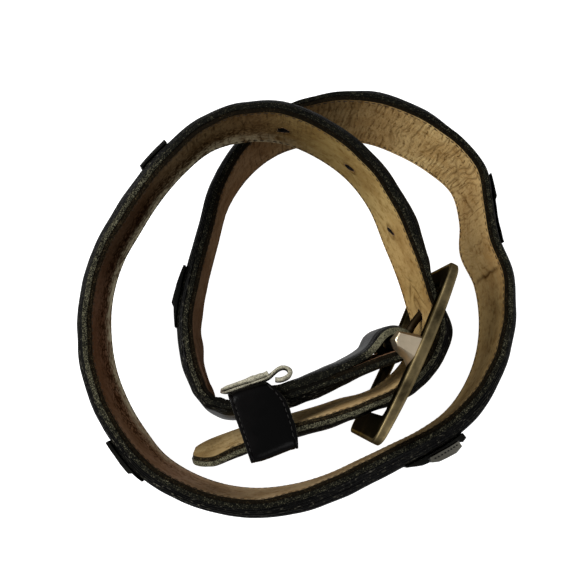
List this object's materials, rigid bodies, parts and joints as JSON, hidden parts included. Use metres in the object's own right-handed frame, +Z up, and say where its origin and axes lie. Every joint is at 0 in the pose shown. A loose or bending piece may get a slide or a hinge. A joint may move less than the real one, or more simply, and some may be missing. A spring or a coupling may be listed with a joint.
{
  "type": "buckled western belt",
  "caption": "Black padded leather belt with a tan lining, a rectangular centre-bar buckle and a keeper, buckled and coiled on its edge.",
  "frame": {"origin": "centre of the bounding box at the floor that the belt stands on", "axes": "+Z up along the strap's width, +Y away from the buckled overlap, +X toward the belt's outermost right-hand bend"},
  "size_m": [0.14, 0.14, 0.065],
  "materials": {
    "strap_leather": "smooth black leather with a raw pale edge",
    "lining": "worn tan leather, creased",
    "buckle": "antique, dull, worn bright at the edges",
    "keeper": "smooth black leather",
    "overlay_leather": "black leather",
    "pale_leather": "pale raw leather"
  },
  "bodies": {
    "root": {"strap_leather": "strap_leather", "strap_lining": "lining", "buckle_frame": "buckle", "buckle_prong": "buckle", "keeper_band": "keeper", "keeper_strip": "pale_leather", "overlay_upper_left": "overlay_leather", "overlay_inner_left": "overlay_leather", "overlay_right": "overlay_leather", "overlay_lower_right": "overlay_leather", "overlay_pale_panel": "pale_leather", "overlay_lower_left": "overlay_leather"}
  },
  "joints": []
}
